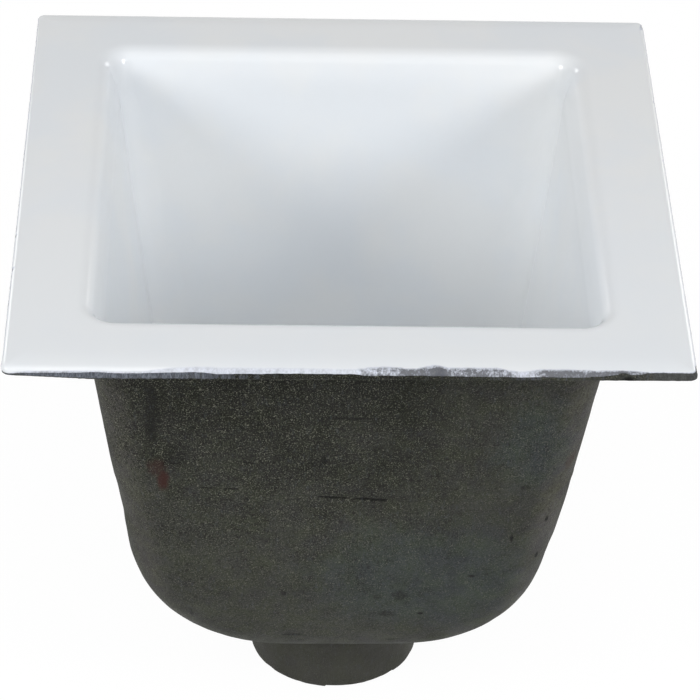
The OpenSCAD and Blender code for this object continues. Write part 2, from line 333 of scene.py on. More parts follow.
def wall_and_curve(s, out, start, wall_count, curve_count):
    """Levels below a starting one, down the side wall and round the bottom to the floor"""
    reach = sqrt((wall_half(s, out) - s.floor_half - s.slope * s.curve_centre) ** 2
                 - (s.slope * (s.curve_h + out)) ** 2)
    drop = s.curve_h + out
    low_corner = s.low_corner_r + out
    leave = atan(s.slope * drop / reach)
    end = s.curve_centre + drop * sin(leave)
    levels = []
    for part in steps(0, 1, wall_count)[1:]:
        depth = start[2] + (end - start[2]) * part
        corner = start[1] + (low_corner - start[1]) * sqrt(part)
        levels.append((wall_half(s, out) - s.slope * depth, corner, depth))
    for turn in steps(leave, pi / 2, curve_count)[1:]:
        part = cos(turn) / cos(leave)
        levels.append((s.floor_half + reach * cos(turn),
                       s.floor_corner_r + (low_corner - s.floor_corner_r) * part,
                       s.curve_centre + drop * sin(turn)))
    return levels


def inside_levels(s, out, roll_count, wall_count, curve_count):
    """Inside surface from the rolled rim to the floor, a distance outside the enamelled one"""
    places = [(s.roll_half + (s.rim_r - out) * cos(turn), s.rim_r - (s.rim_r - out) * sin(turn))
              for turn in steps(pi / 2, s.rim_end, roll_count)]
    places += [(s.soft_half + (s.rim_soft_r - out) * cos(turn),
                s.soft_depth - (s.rim_soft_r - out) * sin(turn))
               for turn in steps(s.rim_end, pi - s.wall_slope, roll_count)[1:]]
    levels = [(half, mouth_corner(s, half), depth) for half, depth in places]
    return levels + wall_and_curve(s, out, levels[-1], wall_count, curve_count)


def outside_levels(s):
    """Outside of the bowl from the flange's underside to the floor"""
    levels = []
    for turn in steps(0, pi / 2 - s.wall_slope, 8):
        half = s.fillet_half - s.fillet_r * sin(turn)
        levels.append((half, mouth_corner(s, half), s.under + s.fillet_r * (1 - cos(turn))))
    return levels + wall_and_curve(s, s.shell_out, levels[-1], 60, 60)


def edge_place(s, path, out):
    """Half width, depth and outward direction at a distance round the flange's edge.

    The distance starts at the crown's upper end and runs outwards, down the side and back in under
    the flange. The direction is (sideways, up), and out is the depth below the enamel's surface.
    """
    crown = s.crown_r * s.crown_angle
    turn = s.edge_r * (pi / 2 - s.crown_angle)
    side = s.under - s.chamfer - s.edge_depth
    slant = s.chamfer * sqrt(2)
    if path <= 0:
        return s.crown_half + path, out, 0, 1
    if path <= crown:
        tilt = path / s.crown_r
        radius = s.crown_r - out
        return s.crown_half + radius * sin(tilt), s.crown_r - radius * cos(tilt), sin(tilt), cos(tilt)
    path -= crown
    if path <= turn:
        tilt = s.crown_angle + path / s.edge_r
        radius = s.edge_r - out
        return (s.edge_half - s.edge_r + radius * sin(tilt), s.edge_depth - radius * cos(tilt),
                sin(tilt), cos(tilt))
    path -= turn
    if path <= side:
        return s.edge_half - out, s.edge_depth + path, 1, 0
    path -= side
    if path <= slant:
        across = path / sqrt(2)
        return s.edge_half - out - across, s.under - s.chamfer + across, sqrt(0.5), -sqrt(0.5)
    return s.edge_half - out - s.chamfer - (path - slant), s.under, 0, -1


def outline_point(half, corner, part, least=0):
    """Point on a square with round corners, a part of the way round.

    Corners get more points, and at least the given share of what the straight sides get.
    """
    corner = max(corner, 0.01 * MM)
    straight = half - corner
    weight = max(corner * (3 - 2 * corner / half), least * straight)
    total = 2 * straight + weight * pi / 2
    quarter, along = divmod(4 * part, 1)
    place = along * total
    if place <= straight:
        x, y = half, place
    elif place >= total - straight:
        x, y = total - place, half
    else:
        turn = (place - straight) / weight
        x, y = straight + corner * cos(turn), straight + corner * sin(turn)
    for _ in range(int(quarter)):
        x, y = -y, x
    return x, y


def level_ring(s, level, columns, least=0):
    """Points of a level"""
    half, corner, depth = level
    return [Vector((*outline_point(half, corner, i / columns, least), s.top_z - depth))
            for i in range(columns)]


def edge_ring(s, paths, outs):
    """Points at a distance round the flange's edge that may differ from column to column"""
    points = []
    for i, (path, out) in enumerate(zip(paths, outs)):
        half, depth, _, _ = edge_place(s, path, out)
        corner = max(s.flange_corner_r + half - s.edge_half, s.crown_corner)
        points.append(Vector((*outline_point(half, corner, i / len(paths)), s.top_z - depth)))
    return points


# Rings of edges, from which the casting and the enamel are drawn

def ring_edges(bm, ring):
    """Edges of a closed ring of vertices"""
    return [bm.edges.get(pair) for pair in zip(ring, ring[1:] + ring[:1])]


def start_ring(bm, points):
    """Closed ring of edges through the points"""
    vert = bmesh.ops.create_circle(bm, segments=len(points), radius=1)["verts"][0]
    edge = vert.link_edges[0]
    ring = []
    for point in points:
        vert.co = point
        ring.append(vert)
        vert = edge.other_vert(vert)
        edge = next(other for other in vert.link_edges if other != edge)
    return ring


def extend_ring(bm, ring, points):
    """Extrudes a ring of edges and moves the new vertices to the points"""
    made = bmesh.ops.extrude_edge_only(bm, edges=ring_edges(bm, ring))["geom"]
    fresh = {part for part in made if isinstance(part, bmesh.types.BMVert)}
    outer = []
    for vert, point in zip(ring, points):
        twin = next(other for other in (edge.other_vert(vert) for edge in vert.link_edges)
                    if other in fresh)
        twin.co = point
        outer.append(twin)
    return outer


def draw_rings(bm, rings, layer=None, values=()):
    """Surface through a list of rings of points. Returns its first and last ring of vertices.

    Where a layer is given, every vertex also gets its value from the list for its ring.
    """
    first = ring = start_ring(bm, rings[0])
    drawn = [ring]
    for points in rings[1:]:
        ring = extend_ring(bm, ring, points)
        drawn.append(ring)
    for ring_verts, ring_values in zip(drawn, values):
        for vert, value in zip(ring_verts, ring_values):
            vert[layer] = value
    return first, ring


def join_rings(bm, ring, other):
    """Closes the gap from a ring to one that has as many vertices, or a whole share of them"""
    every = len(ring) // len(other)
    goals = [other[(i + every // 2) // every % len(other)] for i in range(len(ring))]
    made = extend_ring(bm, ring, [vert.co for vert in goals])
    bmesh.ops.weld_verts(bm, targetmap=dict(zip(made, goals)))


def finish_piece(bm, name, material, body, nodes):
    """Makes an object of a closed bmesh with its material, sets its body, and hides the nodes it
    stands for
    """
    bmesh.ops.recalc_face_normals(bm, faces=bm.faces)
    for face in bm.faces:
        face.smooth = True
    mesh = bpy.data.meshes.new(name)
    bm.to_mesh(mesh)
    bm.free()
    mesh.materials.append(material)
    piece = bpy.data.objects.new(name, mesh)
    bpy.context.scene.collection.objects.link(piece)
    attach(piece, body)
    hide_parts(*nodes)
    return piece


# Casting

def between(table, place):
    """Values of a table of (place, values), on straight lines between its rows"""
    for low, high in zip(table, table[1:]):
        if place <= high[0]:
            part = max(place - low[0], 0) / (high[0] - low[0])
            return [a + (b - a) * part for a, b in zip(low[1:], high[1:])]
    return table[-1][1:]


def ripple(point, size, seed=0):
    """Smooth noise from -1 to 1 with waves of a given size"""
    return noise.noise(Vector(point) / size + Vector((seed, 2 * seed, -seed)))


def edge_finish(s, look, x, y):
    """Finish of the flange's edge at a place on it.

    Gives the distances round the edge at which the enamel ends and at which it starts to look worn,
    how worn it looks, and how much ground coat the iron keeps.
    """
    point = (x, y, 0)
    ragged = 0.25 * MM * ripple(point, 6 * MM, 3) + 0.22 * MM * ripple(point, 1.8 * MM, 5)
    chips = max(ripple(point, 9 * MM, 9) - 0.4, 0)
    side_hem = look.side_hem + ragged - 4 * MM * chips
    side = (side_hem, side_hem - 0.8 * MM - 3 * MM * chips, 0.25 + chips, 0.3)
    hem, start, wear, coat = between(FRONT_EDGE, x / MM)
    front = (hem * MM + 0.7 * ragged, start * MM + 0.7 * ragged, wear, coat)
    forward = min(max(1 - (y + s.edge_half) / (8 * MM), 0), 1)
    return [a + (b - a) * forward for a, b in zip(side, front)]


def edge_finishes(s, look):
    """Finish of the flange's edge for each of its columns"""
    corner = s.flange_corner_r
    return [edge_finish(s, look, *outline_point(s.edge_half, corner, i / EDGE_COLUMNS))
            for i in range(EDGE_COLUMNS)]


def under_lift(s, look, point):
    """How far the flange's underside lies above its true place: it is twisted, and one corner thin"""
    twist = -point.x * point.y / s.edge_half ** 2
    corner = sqrt((point.x + s.edge_half) ** 2 + (point.y + s.edge_half) ** 2)
    return look.twist * (twist + 1.6 * max(0, 1 - corner / (38 * MM))) - look.sag


def crack_at(point):
    """How deep in a crack a point lies, from 0 to 1"""
    if point.y > -80 * MM:
        return 0
    deepest = 0
    for x0, x1, z0, z1, wide0, wide1 in CRACKS:
        part = (point.x / MM - x0) / (x1 - x0)
        if -0.05 < part < 1.05:
            middle = z0 + (z1 - z0) * part + 0.4 * ripple((point.x, 0, 0), 4 * MM, 3)
            wide = wide0 + (wide1 - wide0) * part + 0.15 * ripple((point.x, 0, 0), 2 * MM, 8)
            away = abs(point.z / MM - middle) / max(wide, 0.1)
            ends = min(1, (0.5 - abs(part - 0.5)) * 6 + 0.3)
            deepest = max(deepest, ends * max(0, 1 - away * away / 4))
    return deepest


def shell_relief(look, point):
    """Height of the cast surface over the true shape"""
    seam = point.z - SEAM_Z - SEAM_RISE * point.x
    ridge = 0.22 * MM * exp(-(seam / (1.4 * MM)) ** 2) * (0.6 + ripple(point, 30 * MM, 7))
    left, right = between(SIDE_SWELL, point.z / MM)
    part = min(max(0.5 + point.x / (150 * MM), 0), 1)
    return (look.swell * ripple(point, 55 * MM, 1) + look.dents * ripple(point, 15 * MM, 2)
            + 0.5 * look.dents * ripple(point, 6 * MM, 4) + ridge
            + (left + (right - left) * part) * abs(2 * part - 1) * MM)


def resampled(levels, spacing):
    """Levels along the same path at a spacing that depends on the depth"""
    found = [levels[0]]
    for low, high in zip(levels, levels[1:]):
        run = sqrt((high[0] - low[0]) ** 2 + (high[2] - low[2]) ** 2)
        last = found[-1]
        gone = sqrt((low[0] - last[0]) ** 2 + (low[2] - last[2]) ** 2)
        while gone + run >= spacing(low[2]):
            part = (spacing(low[2]) - gone) / run
            place = tuple(a + (b - a) * part for a, b in zip(low, high))
            found.append(place)
            run *= 1 - part
            low, gone = place, 0
            if run < 1e-9:
                break
    return found


def shell_rings(s, look):
    """Rings of points up the outside of the bowl, from the outlet to the flange's underside"""
    floor_depth = s.bowl_depth + s.shell_out
    outside = list(reversed(outside_levels(s)))
    foot = s.outlet_r + s.outlet_fillet_r
    start = [(half, half, floor_depth) for half in steps(foot, 0.9 * outside[0][0], 4)]
    crack_top, crack_low = s.top_z - 181 * MM, s.top_z - 165 * MM
    levels = resampled(
        start + outside,
        lambda depth: 0.6 * MM if crack_top < depth < crack_low else 2.7 * MM)
    levels += [(half, mouth_corner(s, half), s.under)
               for half in steps(s.fillet_half, s.edge_half - 7 * MM, 7)[1:]]
    rings, hollows = [], []
    for i, level in enumerate(levels):
        before, after = levels[max(i - 1, 0)], levels[min(i + 1, len(levels) - 1)]
        side, down = after[0] - before[0], after[2] - before[2]
        run = sqrt(side * side + down * down)
        across, up = -down / run, -side / run
        fade = min(1, i / 4)
        points, deep = [], []
        for point in level_ring(s, level, SHELL_COLUMNS):
            crack = crack_at(point)
            height = fade * shell_relief(look, point) - look.crack_depth * crack
            points.append((point, height))
            deep.append(crack)
        ring = []
        for column, (point, height) in enumerate(points):
            x, y = outline_point(level[0] + across * height, level[1] + across * height,
                                 column / SHELL_COLUMNS)
            ring.append(Vector((x, y, point.z + up * height)))
        rings.append(ring)
        hollows.append(deep)
    return rings, hollows


def pipe_relief(s, point, radius):
    """How far the cast pipe stands proud of its true radius, and how far its end is worn away"""
    rough = 0.16 * MM * ripple(point, 9 * MM, 11) + 0.08 * MM * ripple(point, 4 * MM, 12)
    if radius > s.bore_r + 3 * MM:
        if point.z > 3 * MM:
            rough += 0.2 * MM * ripple(point, 24 * MM, 13)
        rough = min(rough - 0.1 * MM, 0.15 * MM)
    ragged = 0.5 * MM * ripple(point, 8 * MM, 14) + 0.25 * MM * ripple(point, 2.6 * MM, 15)
    nicked = point.y < 0 and -4 * MM < point.x < 30 * MM
    worn = max(0, ragged) + (0.7 * MM if nicked else 0)
    return rough, worn * max(0, 1 - point.z / (4 * MM))


def pipe_rings(s):
    """Rings of points down the bore, across the pipe's end and up its outside"""
    bore, pipe, fillet = s.bore_r, s.outlet_r, s.outlet_fillet_r
    floor_z = s.top_z - s.bowl_depth - s.shell_out
    places = [(bore, s.top_z - s.bowl_depth - s.seat_depth - s.enamel_t)]
    places += [(bore, z * MM) for z in BORE_HEIGHTS]
    places += [(bore + beyond * MM, z * MM) for beyond, z in END_INSIDE]
    places += [(pipe - inside * MM, z * MM) for inside, z in END_OUTSIDE]
    places += [(pipe - 0.3 * MM, z) for z in steps(5.5 * MM, 21.5 * MM, 6)]
    places += [(pipe - 0.2 * MM, 22.6 * MM), (pipe, 23.6 * MM)]
    places += [(pipe, z) for z in steps(26 * MM, floor_z - fillet, 7)]
    places += [(pipe + fillet * (1 - cos(turn)), floor_z - fillet * (1 - sin(turn)))
               for turn in steps(0, pi / 2, 4)[1:-1]]
    rings = []
    for radius, z in places:
        points = []
        for i in range(SHELL_COLUMNS):
            turn = 2 * pi * i / SHELL_COLUMNS
            point = Vector((radius * cos(turn), radius * sin(turn), z))
            rough, worn = pipe_relief(s, point, radius)
            grow = (radius + rough) / radius
            points.append(Vector((point.x * grow, point.y * grow, z + worn)))
        rings.append(points)
    return rings


def edge_rings(s, look, enamel):
    """Rings of points from the flange's underside round its edge to the top under the enamel.

    Each comes with how much ground coat the iron keeps at its points.
    """
    finishes = edge_finishes(s, enamel)
    side_start = s.crown_r * s.crown_angle + s.edge_r * (pi / 2 - s.crown_angle)
    under_end = side_start + s.under - s.edge_depth + s.chamfer * (sqrt(2) - 1)
    paths = [under_end + beyond * MM for beyond in UNDER_PLACES]
    paths += [side_start + beyond * MM for beyond in SIDE_PLACES]
    rings, coats = [], []
    for path in paths:
        points, coat_values = [], []
        for i, (hem, _, _, coat) in enumerate(finishes):
            half, depth, across, up = edge_place(s, path, enamel.edge_t)
            corner = max(s.flange_corner_r + half - s.edge_half, s.crown_corner)
            x, y = outline_point(half, corner, i / EDGE_COLUMNS)
            point = (x, y, depth)
            bare = min(max((path - hem) / (0.8 * MM), 0), 1)
            height = (0.15 + 0.85 * bare) * look.edge_bite * (
                0.55 * ripple(point, 3.2 * MM, 21) + 0.45 * ripple(point, 1.3 * MM, 22))
            height += 0.25 * look.swell * ripple(point, 45 * MM, 23) - 0.12 * MM * bare
            height = min(height, enamel.edge_t - 0.08 * MM)
            x, y = outline_point(half + across * height, corner + across * height,
                                 i / EDGE_COLUMNS)
            points.append(Vector((x, y, s.top_z - depth + up * height)))
            coat_values.append(coat if path < under_end - 0.5 * MM else 0)
        rings.append(points)
        coats.append(coat_values)
    return rings, coats


def make_casting(scene):
    """Casting as one closed surface: bore, pipe, bowl, flange and the faces under the enamel"""
    s = sink_shape(scene)
    look, enamel = scene.casting_look, scene.enamel_look
    bm = bmesh.new()
    hollow = bm.verts.layers.float.new("hollow")
    ground_coat = bm.verts.layers.float.new("ground_coat")
    bore_top, pipe_end = draw_rings(bm, pipe_rings(s))
    shell, hollows = shell_rings(s, look)
    shell_start, ring = draw_rings(bm, shell, hollow, hollows)
    join_rings(bm, pipe_end, shell_start)
    edge, coats = edge_rings(s, look, enamel)
    under, edge_end = draw_rings(bm, edge, ground_coat, coats)
    join_rings(bm, under, ring)
    for vert in bm.verts:
        beyond = max(abs(vert.co.x), abs(vert.co.y)) - s.fillet_half + s.fillet_r
        if beyond > 0:
            below = (s.top_z - s.edge_depth - vert.co.z) / (s.under - s.edge_depth)
            weight = min(max(below, 0), 1) * min(beyond / s.fillet_r, 1)
            vert.co.z += weight * under_lift(s, look, vert.co)
    out = s.enamel_t + 0.03 * MM
    seat_depth = s.bowl_depth + s.seat_depth + out
    levels = [(s.crown_half, s.crown_corner, out)] + inside_levels(s, out, 4, 3, 12)
    levels += [(s.seat_r + out, s.seat_r + out, s.bowl_depth + out),
               (s.seat_r + out, s.seat_r + out, seat_depth),
               (s.bore_r + 2 * MM, s.bore_r + 2 * MM, seat_depth)]
    top, floor_end = draw_rings(bm, [level_ring(s, level, HIDDEN_COLUMNS) for level in levels])
    join_rings(bm, edge_end, top)
    join_rings(bm, bore_top, floor_end)
    return finish_piece(bm, "iron_casting", iron_material(scene), "sink",
                        ("flange", "bowl", "outlet_pipe"))


# Enamel

def hem_rings(s, look):
    """Rings of points from the crown over the flange's edge to the hem and in behind it.

    Each comes with how worn its points look.
    """
    finishes = edge_finishes(s, look)
    first = -1.5 * MM
    rings = []
    for part in HEM_SHARES:
        out = 0.02 if part == 1 else 0
        paths, worn = [], []
        for hem, start, wear, _ in finishes:
            path = first + (hem - first) * part
            paths.append(path)
            ramp = max(0.9 * MM, 0.5 * (hem - start))
            worn.append(wear * min(max((path - start) / ramp + 0.35, 0), 1))
        rings.append((edge_ring(s, paths, [out * MM] * EDGE_COLUMNS), worn))
    for beyond, out in HEM_LIP:
        paths = [hem + beyond * MM for hem, _, _, _ in finishes]
        rings.append((edge_ring(s, paths, [out * MM] * EDGE_COLUMNS), [0.7] * EDGE_COLUMNS))
    rings.append((edge_ring(s, [2 * first] * EDGE_COLUMNS, [s.enamel_t] * EDGE_COLUMNS),
                  [0] * EDGE_COLUMNS))
    return rings


def bowl_rings(s, look):
    """Rings of points over the flange, round the rolled rim and down to the outlet"""
    seat, seat_depth = s.seat_r, s.bowl_depth + s.seat_depth
    levels = [(half, max(mouth_corner(s, half), s.crown_corner), 0)
              for half in steps(s.crown_half - 3 * MM, s.roll_half + 1.5 * MM, 4)]
    levels += inside_levels(s, 0, 9, 12, 26)
    round_levels = [(seat + 0.7 * MM, s.bowl_depth), (seat + 0.15 * MM, s.bowl_depth + 0.25 * MM),
                    (seat, s.bowl_depth + 0.9 * MM), (seat, seat_depth - 0.5 * MM)]
    round_levels += [(radius, seat_depth)
                     for radius in [seat - 0.5 * MM] + steps(seat - 4 * MM, s.bore_r + 1 * MM, 3)]
    round_levels += [(s.bore_r + 0.3 * MM, seat_depth + 0.15 * MM),
                     (s.bore_r, seat_depth + 0.5 * MM)]
    levels += [(radius, radius, depth) for radius, depth in round_levels]
    rings = []
    for i, level in enumerate(levels):
        points = level_ring(s, level, BOWL_COLUMNS, min(0.16 * i, 0.64))
        for point in points:
            full = min(1, level[2] / (4 * MM) + 0.15)
            point.z += look.flow * (ripple(point, 38 * MM, 31) - 1) * full
        rings.append(points)
    return rings


def make_enamel(scene):
    """Enamel as a closed skin with a ragged hem round the flange's edge"""
    s = sink_shape(scene)
    look = scene.enamel_look
    bm = bmesh.new()
    wear = bm.verts.layers.float.new("wear")
    hem = hem_rings(s, look)
    outer, hem_end = draw_rings(bm, [points for points, _ in hem], wear,
                                [values for _, values in hem])
    top, bore_end = draw_rings(bm, bowl_rings(s, look))
    join_rings(bm, outer, top)

    out, seat = s.enamel_t, s.seat_r
    low = s.bowl_depth + s.seat_depth + out
    levels = [(s.bore_r, s.bore_r, low), (seat + out, seat + out, low),
              (seat + out, seat + out, s.bowl_depth + out)]
    levels += list(reversed(inside_levels(s, out, 4, 3, 12)))
    levels += [(s.crown_half - 5 * MM, s.crown_corner, out)]
    back_start, back_end = draw_rings(
        bm, [level_ring(s, level, HIDDEN_COLUMNS) for level in levels])
    join_rings(bm, bore_end, back_start)
    join_rings(bm, hem_end, back_end)
    return finish_piece(bm, "white_enamel", enamel_material(scene), "sink",
                        ("porcelain_enamel",))


# Strainer

def make_strainer(scene):
    """Dome strainer as one sheet from the pole to the rim, with its slots left open"""
    look = scene.strainer_shape
    seat_z = STRAINER_LOW.z
    foot, fillet = look.radius - look.rim_w, look.foot_r
    dome_r = (foot * foot + look.dome_h * look.dome_h) / (2 * look.dome_h)
    centre_z = seat_z + look.rim_t + look.dome_h - dome_r
    rim_z = seat_z + look.rim_t
    half_slot = look.slot_w / 2
    slot_start = look.cap_r + half_slot
    sill_z = rim_z + look.slot_sill
    sill_r = sqrt(dome_r * dome_r - (sill_z - centre_z) ** 2)

    def dome_z(radius):
        return centre_z + sqrt(dome_r * dome_r - radius * radius)

    cap = [(radius, dome_z(radius)) for radius in steps(2 * MM, look.cap_r - 0.6 * MM, 5)]
    round_end = [(slot_start - half_slot * cos(turn)) for turn in steps(radians(26), pi / 2, 4)]
    ribs = [(radius, dome_z(radius)) for radius in
            round_end + steps(slot_start, sill_r, 9)[1:]]
    base = [(radius, dome_z(radius)) for radius in steps(sill_r, foot - 0.9 * MM, 2)[1:]]
    flat = [(foot + 0.06 * fillet, rim_z + 0.18 * fillet),
            (foot + 0.52 * fillet, rim_z + 0.02 * fillet),
            (foot + 1.04 * fillet, rim_z), (look.radius - 1.5 * MM, rim_z),
            (look.radius - 0.5 * MM, rim_z - 0.06 * MM), (look.radius - 0.1 * MM, rim_z - 0.35 * MM)]
    places = cap + ribs + base + flat
    open_from, open_to = len(cap), len(cap) + len(ribs) - 1

    sector = 2 * pi / look.slots
    gap_steps, rib_steps = 4, 7

    def ring(radius, z):
        reach = min(max(radius, round_end[0]), slot_start)
        wide = sqrt(max(half_slot ** 2 - (slot_start - reach) ** 2, 0))
        gap = asin(wide / max(radius, round_end[0]))
        turns = []
        for k in range(look.slots):
            middle = sector * (k + 0.5)
            turns += [middle + gap * (2 * i / gap_steps - 1) for i in range(gap_steps)]
            turns += [middle + gap + (sector - 2 * gap) * i / rib_steps for i in range(rib_steps)]
        return [Vector((radius * cos(turn), radius * sin(turn), z)) for turn in turns]

    bm = bmesh.new()
    loop = start_ring(bm, ring(*places[0]))
    bmesh.ops.contextual_create(bm, geom=ring_edges(bm, loop))
    openings = []
    for i, place in enumerate(places[1:]):
        outer = extend_ring(bm, loop, ring(*place))
        if open_from <= i < open_to:
            for k in range(look.slots):
                for j in range(gap_steps):
                    a = (k * (gap_steps + rib_steps) + j) % len(loop)
                    b = (a + 1) % len(loop)
                    openings.append(bm.faces.get((loop[a], loop[b], outer[b], outer[a])))
        loop = outer
    bmesh.ops.delete(bm, geom=openings, context="FACES")
    loose = [vert for vert in bm.verts if not vert.link_faces]
    bmesh.ops.delete(bm, geom=loose, context="VERTS")
    piece = finish_piece(bm, "dome_strainer_cast", aluminium_material(scene), "strainer",
                         ("dome_strainer",))
    wall = piece.modifiers.new("Wall", "SOLIDIFY")
    wall.thickness = look.dome_t
    wall.offset = -1
    wall.use_even_offset = True
    wall.use_quality_normals = True
    soft = piece.modifiers.new("Soft edges", "BEVEL")
    soft.width = 0.45 * MM
    soft.segments = 2
    soft.limit_method = "ANGLE"
    soft.angle_limit = radians(40)
    return piece


# Materials

class Wiring:
    """Short ways to add and link the nodes of one tree"""

    def __init__(self, tree):
        self.tree = tree

    def plug(self, socket, value):
        """Links a socket to another one, or sets its value"""
        if isinstance(value, bpy.types.NodeSocket):
            self.tree.links.new(value, socket)
        elif socket.type == "RGBA":
            socket.default_value = (*value[:3], 1)
        else:
            socket.default_value = value

    def add(self, kind, sockets=None, **settings):
        """Adds a node with its settings and named inputs"""
        node = self.tree.nodes.new(kind)
        for name, value in settings.items():
            setattr(node, name, value)
        for name, value in (sockets or {}).items():
            self.plug(node.inputs[name], value)
        return node

    def math(self, operation, *values):
        """Result of a Math node"""
        node = self.add("ShaderNodeMath", operation=operation)
        for socket, value in zip(node.inputs, values):
            self.plug(socket, value)
        return node.outputs[0]

    def span(self, value, low, high, to_low=0.0, to_high=1.0):
        """Value carried smoothly from one range to another, and held at its ends"""
        node = self.add("ShaderNodeMapRange", {
            "Value": value, "From Min": low, "From Max": high, "To Min": to_low,
            "To Max": to_high}, interpolation_type="SMOOTHSTEP")
        return node.outputs["Result"]

    def mix(self, factor, first, second, blend="MIX"):
        """Mix of two colours"""
        node = self.add("ShaderNodeMix", data_type="RGBA", blend_type=blend)
        self.plug(node.inputs[0], factor)
        self.plug(node.inputs[6], first)
        self.plug(node.inputs[7], second)
        return node.outputs[2]

    def noise(self, vector, size, detail=2.0, roughness=0.5):
        """Noise with waves of a given size"""
        scale = self.math("DIVIDE", 1.0, size) if isinstance(
            size, bpy.types.NodeSocket) else 1 / size
        node = self.add("ShaderNodeTexNoise", {
            "Vector": vector, "Scale": scale, "Detail": detail, "Roughness": roughness})
        return node.outputs["Fac"]

    def group(self, tree, **sockets):
        """Places a node group and plugs its inputs"""
        node = self.add("ShaderNodeGroup", node_tree=tree)
        for name, value in sockets.items():
            self.plug(node.inputs[name.replace("_", " ").capitalize()], value)
        return node.outputs


def new_group(name, inputs, outputs):
    """Node group with named inputs and outputs. Returns the tree, its wiring and both ends."""
    tree = bpy.data.node_groups.new(name, "ShaderNodeTree")
    for label, kind, default in inputs:
        socket = tree.interface.new_socket(name=label, in_out="INPUT", socket_type=kind)
        if default is not None:
            socket.default_value = default
    for label, kind in outputs:
        tree.interface.new_socket(name=label, in_out="OUTPUT", socket_type=kind)
    wires = Wiring(tree)
    start = wires.add("NodeGroupInput").outputs
    end = wires.add("NodeGroupOutput").inputs
    return tree, wires, start, end


FLOAT, VECTOR, COLOUR = "NodeSocketFloat", "NodeSocketVector", "NodeSocketColor"


def grain_group():
    """Sand grain: a height for bump, the grains on which glints of light are painted, and the pores
    """
    tree, w, start, end = new_group(
        "Sand grain",
        (("Vector", VECTOR, None), ("Size", FLOAT, 0.0008)),
        (("Height", FLOAT), ("Glints", FLOAT), ("Pores", FLOAT)))
    fine = w.noise(start["Vector"], start["Size"], 2.5, 0.6)
    coarse = w.noise(start["Vector"], w.math("MULTIPLY", start["Size"], 3.2), 2.0, 0.55)
    both = w.math("ADD", w.math("MULTIPLY", fine, 0.6), w.math("MULTIPLY", coarse, 0.4))
    w.plug(end["Height"], both)
    w.plug(end["Glints"], w.span(fine, 0.53, 0.7))
    w.plug(end["Pores"], w.span(both, 0.51, 0.39))
    return tree


def drift_group():
    """Tone drift: a slow change between two colours"""
    tree, w, start, end = new_group(
        "Tone drift",
        (("Vector", VECTOR, None), ("Size", FLOAT, 0.05), ("First", COLOUR, (0.5, 0.5, 0.5, 1)),
         ("Second", COLOUR, (0.5, 0.5, 0.5, 1))),
        (("Color", COLOUR), ("Mask", FLOAT)))
    mask = w.span(w.noise(start["Vector"], start["Size"], 3.0, 0.55), 0.36, 0.64)
    w.plug(end["Mask"], mask)
    w.plug(end["Color"], w.mix(mask, start["First"], start["Second"]))
    return tree


def patch_group():
    """Soft patch: a mask that is 1 in the middle of a stretched ball and 0 outside it"""
    tree, w, start, end = new_group(
        "Soft patch",
        (("Vector", VECTOR, None), ("Centre", VECTOR, (0, 0, 0)), ("Reach", VECTOR, (1, 1, 1)),
         ("Ragged", FLOAT, 0.3), ("Rag size", FLOAT, 0.004)),
        (("Mask", FLOAT),))
    away = w.add("ShaderNodeVectorMath", operation="SUBTRACT")
    w.plug(away.inputs[0], start["Vector"])
    w.plug(away.inputs[1], start["Centre"])
    scaled = w.add("ShaderNodeVectorMath", operation="DIVIDE")
    w.plug(scaled.inputs[0], away.outputs[0])
    w.plug(scaled.inputs[1], start["Reach"])
    distance = w.add("ShaderNodeVectorMath", operation="LENGTH")
    w.plug(distance.inputs[0], scaled.outputs[0])
    swing = w.math("SUBTRACT", w.noise(start["Vector"], start["Rag size"], 3.0, 0.6), 0.5)
    rag = w.math("MULTIPLY", swing, w.math("MULTIPLY", start["Ragged"], 2.0))
    w.plug(end["Mask"], w.span(w.math("ADD", distance.outputs["Value"], rag), 1.0, 0.35))
    return tree


def shared_group(name):
    """The shared node group of that name, built when it is first asked for"""
    makers = {"Sand grain": grain_group, "Tone drift": drift_group, "Soft patch": patch_group}
    return bpy.data.node_groups.get(name) or makers[name]()


def new_material(name):
    """Material with an empty tree. Returns it, its wiring, the coordinates and the output."""
    material = bpy.data.materials.new(name)
    material.use_nodes = True
    material.node_tree.nodes.clear()
    w = Wiring(material.node_tree)
    place = w.add("ShaderNodeTexCoord").outputs["Object"]
    output = w.add("ShaderNodeOutputMaterial")
    return material, w, place, output


def patch(w, place, centre, reach, ragged=0.3, rag_size=0.004):
    """Mask of a soft patch, with its centre and reach in millimetres"""
    return w.group(shared_group("Soft patch"), vector=place, centre=[c * MM for c in centre],
                   reach=[r * MM for r in reach], ragged=ragged, rag_size=rag_size)["Mask"]


def marks(w, place, rows, ragged, rag_size):
    """Mask of a table of marks"""
    mask = None
    for centre, reach, strength in rows:
        mark = w.math("MULTIPLY", patch(w, place, centre, reach, ragged, rag_size), strength)
        mask = mark if mask is None else w.math("MAXIMUM", mask, mark)
    return mask


